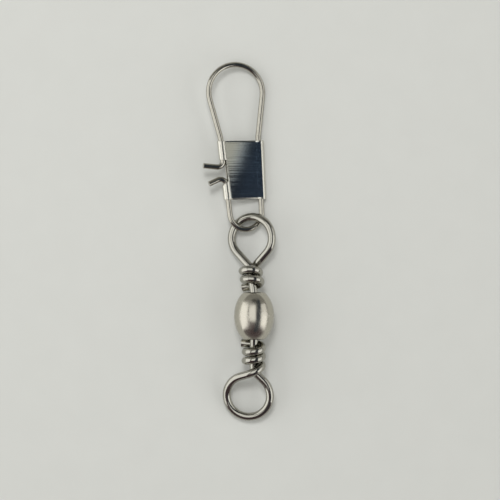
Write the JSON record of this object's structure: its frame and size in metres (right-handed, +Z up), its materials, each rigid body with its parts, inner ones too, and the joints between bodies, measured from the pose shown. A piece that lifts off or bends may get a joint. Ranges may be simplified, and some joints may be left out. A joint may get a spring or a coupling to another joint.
{
  "type": "fishing snap swivel",
  "caption": "Fishing snap swivel: barrel swivel with a wrapped wire eye at each end, one carrying a wire snap with a folded sheet clasp.",
  "frame": {"origin": "bottom centre of the bounding box, on the floor that the swivel lies on", "axes": "+Y along the barrel towards the snap, +Z up from the floor, +X to the right seen from above"},
  "size_m": [0.009, 0.0448, 0.005],
  "materials": {
    "barrel_plating": "turned brass shell, bright nickel plated, glossy",
    "eye_wire": "drawn wire, bright nickel plated, glossy",
    "snap_wire": "drawn spring steel wire, bright nickel plated",
    "clasp_sheet": "thin nickel plated steel strip with a fine brushed grain across it"
  },
  "bodies": {
    "barrel": {"barrel": "barrel_plating"},
    "snap_eye": {"snap_eye": "eye_wire"},
    "line_eye": {"line_eye": "eye_wire"},
    "snap": {"snap_wire": "snap_wire", "snap_clasp": "clasp_sheet"}
  },
  "joints": [
    {"name": "snap_eye_spin", "type": "hinge", "parent": "barrel", "child": "snap_eye", "pos_m": [0.00184, -0.00648, 0.00248], "axis": [-0.1453, 0.9721, -0.184], "continuous": true},
    {"name": "line_eye_spin", "type": "hinge", "parent": "barrel", "child": "line_eye", "pos_m": [0.00184, -0.01197, 0.00248], "axis": [-0.0189, -0.9841, -0.1764], "continuous": true},
    {"name": "snap_swing", "type": "hinge", "parent": "snap_eye", "child": "snap", "pos_m": [0.00151, 0.00049, 0.00142], "axis": [-0.3276, 0.1282, 0.9361], "range_deg": [-35, 90]}
  ]
}
